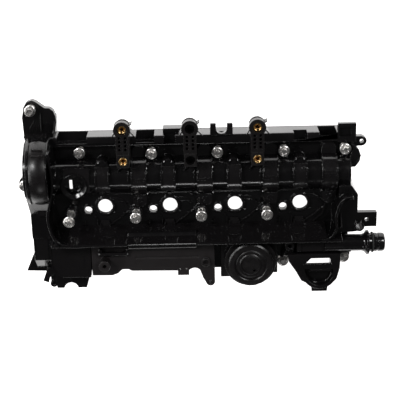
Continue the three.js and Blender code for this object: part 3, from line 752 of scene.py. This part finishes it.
def makeTower(node):
    low, high = rowBox(node)
    x, top = (low.x + high.x) / 2, high.z
    half, bossY, blockY = towerLook["half"], towerLook["bossY"], towerLook["blockY"]
    piece = block(x - half, x + half, blockY + 5, bossY, towerLook["web"], top)
    carve(piece, [turned(x, bossY, [
        (11, top - towerLook["bossDepth"]), (11.6, top - 6), (11.6, top)], 56)], "UNION")
    carve(piece, [block(x - half, x + half, blockY - 9, blockY + 9, low.z, top)], "UNION")
    # Two rows of pockets down the arm, with a rib between them.
    tools = [block(x + dx - 1.5, x + dx + 1.5, 94.6 + row * 5.4, 98.2 + row * 5.4, top - 9, top + 2)
             for dx in (-4, 4) for row in range(4)]
    tools += [disc(x, y, top - towerLook["pocket"], top + 2, towerLook["pocketRadius"], 48)
              for y in (bossY, blockY)]
    tools += [block(x - half + 3, x + half - 3, blockY + 10, bossY - 9, 30, top - 12)]
    for tool in tools:
        carve(piece, [tool])
    # A raised border round the arm, fins beside the boss and legs at the block's foot.
    trim = [
        block(x - half - 0.4, x - half + 1, blockY + 9.4, bossY - 8, top - 5, top + 0.1),
        block(x + half - 1, x + half + 0.4, blockY + 9.4, bossY - 8, top - 5, top + 0.1),
        block(x - 0.7, x + 0.7, blockY + 12, bossY - 10, top - 6, top + 0.1),
        rib((x + 7.6, bossY + 5.5), (x + 13.4, bossY + 8.5), 1.3, top - 16, top - 2),
        rib((x + 9.5, bossY - 4), (x + 17, bossY - 12), 1.6, top - 26, top - 8),
        rib((x - 9.5, bossY - 4), (x - 14.5, bossY - 12), 1.6, top - 26, top - 8),
        curvedRib((x, bossY), 11.7, 20, 160, 0.8, top - 13, top - 12),
        block(x - half - 0.4, x + half + 0.4, blockY + 9, blockY + 10, top - 8, top + 0.1),
    ]
    piece = joined([piece, *trim])
    return soften(piece, towerLook["edge"])


for number in (1, 2, 3):
    node = f"mount_tower_{number}"
    fit(makeTower(node), node + "_fine", materials["satin"], [node])
print("towers")

# ---- pressure regulator

capLook = {"x": 66, "y": -78, "radius": 31.7, "top": 70, "under": 59.9}


def makeCap():
    x, y, top, under = capLook["x"], capLook["y"], capLook["top"], capLook["under"]
    piece = turned(x, y, [
        (28.7, under), (31.4, under), (31.7, under + 0.6), (31.7, top - 1.5), (29.6, top - 0.2), (29, top),
        (23.4, top), (22.6, top - 0.6), (22.2, top - 2.2), (20.8, top - 2.4), (19.4, top - 1.5),
        (17.6, top - 1.4),
        (16.2, top - 1.5), (14.6, top - 0.5), (13.8, top - 0.4), (13.2, top - 1), (12.6, top - 2.2),
        (11.4, top - 2.4), (3, top - 2.2), (0.02, top - 2.2), (0.02, top - 4.6),
        (28.7, top - 4.6)], 96, tube=True)
    tools = []
    for angle in (-120, -107, -68, -55, 20, 33):
        turn = math.radians(angle)
        tools.append(disc(x + 31.9 * math.cos(turn), y + 31.9 * math.sin(turn), under - 2, top + 2, 1.8, 20))
    tools.append(disc(x + 5, y - 9, top - 9, top + 3, 2, 24))
    for tool in tools:
        carve(piece, [tool])
    trim = [disc(x + dx, y + dy, top - 3, top - 1.6, 0.9, 16) for dx, dy in ((-2, -2), (1, -3.5), (3, -1))]
    return soften(joined([piece, *trim]), 0.35)


fit(makeCap(), "regulator_cap_fine", materials["satin"], ["regulator_cap"])

# ---- breather spigot

spigotLook = {"y": -52.5, "z": 55, "radius": 12, "bore": 9, "end": 254}


def makeSpigot():
    end = spigotLook["end"]
    rings = [
        (12, 170), (12, 222), (12.8, 225), (14, 226.4), (17.2, 228.6), (17.5, 229.4), (17.5, 231.6),
        (17, 232),
        (13.4, 232.2), (13.2, 235.4), (12.1, 235.6), (12.1, 239), (13.2, 239.2), (13.3, 243), (12.6, 243.3),
        (12.6, 245), (13.3, 245.3), (13.2, end - 3), (12.6, end - 1), (11.6, end), (9.8, end), (9, end - 1),
        (9, 170)]
    # Turned about an upright axis, then laid along the cover.
    piece = turned(0, 0, [(radius, along - 170) for radius, along in rings], 56, tube=True)
    layAlong(piece, 170, spigotLook["y"], spigotLook["z"])
    root = [
        rib((134, -56), (200, -56), 14, 34.4, 60),
        block(192, 207, -63.5, -48, 36, 63),
    ]
    carve(root[1], [disc(180, -56, 30, 70, 1)])
    parts = [piece, *root, rib((168, -64), (196, -60), 3, 34.4, 58), block(131, 137, -62, -48, 34.4, 62)]
    return soften(joined(parts), 0.5)


fit(makeSpigot(), "breather_spigot_fine", materials["cover"], ["breather_spigot"])
bpy.ops.mesh.primitive_torus_add(
    major_radius=13.4 * mm, minor_radius=1.35 * mm, major_segments=64, minor_segments=16,
    location=spot(237.3, spigotLook["y"], spigotLook["z"]), rotation=(0, math.pi / 2, 0))
ring = settle(bpy.context.object)
bpy.ops.object.shade_smooth()
fit(ring, "spigot_o_ring_fine", materials["rubber"], ["spigot_o_ring"])
print("regulator and spigot")

# ---- plain nodes with finer edges

finePieces = {
    "separator_lid": ("lid", "lid_plastic", 0.8),
    "crossover_duct": ("cover", "cover_plastic", 0.7),
    "regulator_housing": ("satin", "lid_plastic", 0.7),
    "oil_filler_neck": ("cover", "cover_plastic", 0.9),
    "harness_clip": ("cover", "cover_plastic", 0.5),
    "harness_eye": ("cover", "cover_plastic", 0.5),
    "pipe_clip": ("cover", "cover_plastic", 0.7),
    "perimeter_gasket": ("rubber", "rubber", 0.4),
    "drain_valve": ("rubber", "rubber", 0.4),
    "regulator_diaphragm": ("rubber", "rubber", 0.3),
    "separator_baffle": ("lid", "lid_plastic", 0.3),
    "swirl_tube_1": ("lid", "lid_plastic", 0.25),
    "swirl_tube_2": ("lid", "lid_plastic", 0.25),
    "injector_seal_1": ("rubber", "rubber", 0.3),
    "injector_seal_2": ("rubber", "rubber", 0.3),
    "injector_seal_3": ("rubber", "rubber", 0.3),
    "injector_seal_4": ("rubber", "rubber", 0.3),
}
for node, (finish, slotName, width) in finePieces.items():
    fit(refined(node, width), node + "_fine", materials[finish], [node])
# Rings on the lid's posts, corner facets beside the clip and the nub, beads on neck and eye.
def makeLidTrim():
    parts = [
        turned(-139.3, -75.5, [(8.2, 60), (8.2, 68.4), (6.2, 69.8), (5.6, 69.9), (3, 69.9),
            (3, 64)], 40, tube=True),
        turned(3.2, -79.2, [(6.7, 51), (6.7, 54.6), (5.4, 55.6), (4.7, 55.8), (4.7, 52)], 36, tube=True),
    ]
    for x, y, z, side in ((-147, -55.5, 56.4, -1), (-147, -62, 56.4, -1), (-108, -55.5, 56.4, 1),
                          (-107.5, -62.5, 56.4, 1), (-33, -89.6, 51.6, -1), (-25, -89.6, 51.6, 1)):
        parts.append(facet(x, y, z, side, 2, 2.4))
    return soften(joined(parts), 0.2)


fit(makeLidTrim(), "lid_trim", materials["satin"])


def makeFrontTrim():
    parts = [
        rib((150, -92.5), (180, -92.5), 1.6, 56, 60.6),
        curvedRib((165, -96), 20, 200, 340, 1.6, 56, 60.8),
        rib((121, -60), (111, -76), 1.8, 30, 50),
        rib((127, -62), (124, -80), 1.6, 30, 50),
    ]
    return soften(joined(parts), 0.5)


fit(makeFrontTrim(), "front_trim", materials["cover"])
fit(refined("regulator_plate", 0.3), "regulator_plate_fine", materials["zinc"],
    ["regulator_plate"], "regulator_plate")
for node in ("regulator_spring",):
    cadNodes[node].data.materials.clear()
    cadNodes[node].data.materials.append(materials["zinc"])
print("fine copies")

# ---- floor and light

bpy.ops.object.select_all(action="DESELECT")
floorLook = {"size": 9, "colour": (0.93, 0.92, 0.915, 1), "glow": 1.25}
bpy.ops.mesh.primitive_plane_add(size=floorLook["size"], location=(0, 0, cadBounds[0].z - 0.0002))
floor = bpy.context.object
floor.name = "floor"
paper = bpy.data.materials.new("lit paper")
paper.use_nodes = True
paperShader = paper.node_tree.nodes["Principled BSDF"]
paperShader.inputs["Base Color"].default_value = floorLook["colour"]
paperShader.inputs["Roughness"].default_value = 0.9
paperShader.inputs["Emission Color"].default_value = floorLook["colour"]
paperShader.inputs["Emission Strength"].default_value = floorLook["glow"]
floor.data.materials.append(paper)

world = bpy.data.worlds.new("studio")
bpy.context.scene.world = world
world.use_nodes = True
world.node_tree.nodes["Background"].inputs["Color"].default_value = (1, 1, 1, 1)
world.node_tree.nodes["Background"].inputs["Strength"].default_value = 0.045
lamps = [
    {"place": (-0.95, 0.95, 1.35), "size": (0.4, 0.4), "power": 14},
    {"place": (1.0, 0.95, 1.35), "size": (0.4, 0.4), "power": 14},
    {"place": (-1.3, 0.25, 1.15), "size": (1.5, 0.16), "power": 10},
    {"place": (0, -1.5, 1.45), "size": (0.5, 0.15), "power": 2.5},
]
for number, lamp in enumerate(lamps):
    data = bpy.data.lights.new(f"softbox {number + 1}", "AREA")
    data.shape = "RECTANGLE"
    data.size, data.size_y = lamp["size"]
    data.energy = lamp["power"]
    light = bpy.data.objects.new(data.name, data)
    bpy.context.scene.collection.objects.link(light)
    light.location = lamp["place"]
    light.rotation_euler = (-Vector(lamp["place"])).to_track_quat("-Z", "Y").to_euler()
bpy.context.scene.view_settings.view_transform = "Standard"

# Camera above the tower side, looking down at the injector valley.
cameraSet = {"distance": 1.5, "tilt": 20.5, "roll": 1.25, "lens": 96.74, "sensor": 36,
             "aim": (-0.00063, 0.00032, 0.0462)}
tilt = math.radians(cameraSet["tilt"])
back = Vector((0, math.sin(tilt), math.cos(tilt))) * cameraSet["distance"]
lensData = bpy.data.cameras.new("camera")
lensData.lens = cameraSet["lens"]
lensData.sensor_width = cameraSet["sensor"]
camera = bpy.data.objects.new("camera", lensData)
bpy.context.scene.collection.objects.link(camera)
camera.matrix_world = (
    Matrix.Translation(Vector(cameraSet["aim"]) + back)
    @ Matrix.Rotation(-tilt, 4, "X")
    @ Matrix.Rotation(math.radians(-cameraSet["roll"]), 4, "Z"))
bpy.context.scene.camera = camera

print("scene ready")
